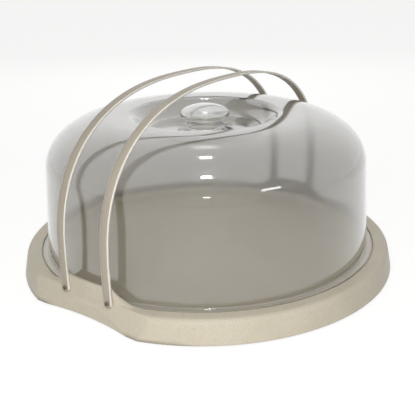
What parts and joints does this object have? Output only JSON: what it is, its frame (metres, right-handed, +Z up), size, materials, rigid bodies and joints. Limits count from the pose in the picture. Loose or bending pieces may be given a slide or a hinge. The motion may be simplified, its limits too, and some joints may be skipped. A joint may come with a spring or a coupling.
{
  "type": "cake carrier",
  "caption": "Round cake carrier: shallow tray, clear domed lid with a hollow knob, and two flat carrying straps that pivot on the tray's lugs.",
  "frame": {"origin": "centre of the tray's foot rings, on the surface it stands on", "axes": "+Z up; +X through the two lugs, along the strap hinges; straps stand at +Y and -Y"},
  "size_m": [0.321, 0.34, 0.1726],
  "materials": {
    "tray_plastic": "satin, with fine darker specks",
    "strap_plastic": "satin",
    "pin_plastic": "satin",
    "clear_plastic": "clear, polished, slightly grey"
  },
  "bodies": {
    "base": {"tray": "tray_plastic", "pin_left_front": "pin_plastic", "pin_left_back": "pin_plastic", "pin_right_front": "pin_plastic", "pin_right_back": "pin_plastic"},
    "lid": {"dome": "clear_plastic", "dome_centre": "clear_plastic", "knob": "clear_plastic"},
    "front_strap": {"strap_front_leg_left": "strap_plastic", "strap_front_bend_left": "strap_plastic", "strap_front_crown_left": "strap_plastic", "strap_front_crown_right": "strap_plastic", "strap_front_bend_right": "strap_plastic", "strap_front_leg_right": "strap_plastic"},
    "back_strap": {"strap_back_leg_left": "strap_plastic", "strap_back_bend_left": "strap_plastic", "strap_back_crown_left": "strap_plastic", "strap_back_crown_right": "strap_plastic", "strap_back_bend_right": "strap_plastic", "strap_back_leg_right": "strap_plastic"}
  },
  "joints": [
    {"name": "lid_lift", "type": "slide", "parent": "base", "child": "lid", "axis": [0, 0, 1], "range_m": [0, 0.005]},
    {"name": "strap_front_swing", "type": "hinge", "parent": "base", "child": "front_strap", "pos_m": [0, -0.0236, 0.022], "axis": [1, 0, 0], "range_deg": [-5, 85]},
    {"name": "strap_back_swing", "type": "hinge", "parent": "base", "child": "back_strap", "pos_m": [0, 0.0236, 0.022], "axis": [-1, 0, 0], "range_deg": [-5, 85]}
  ]
}
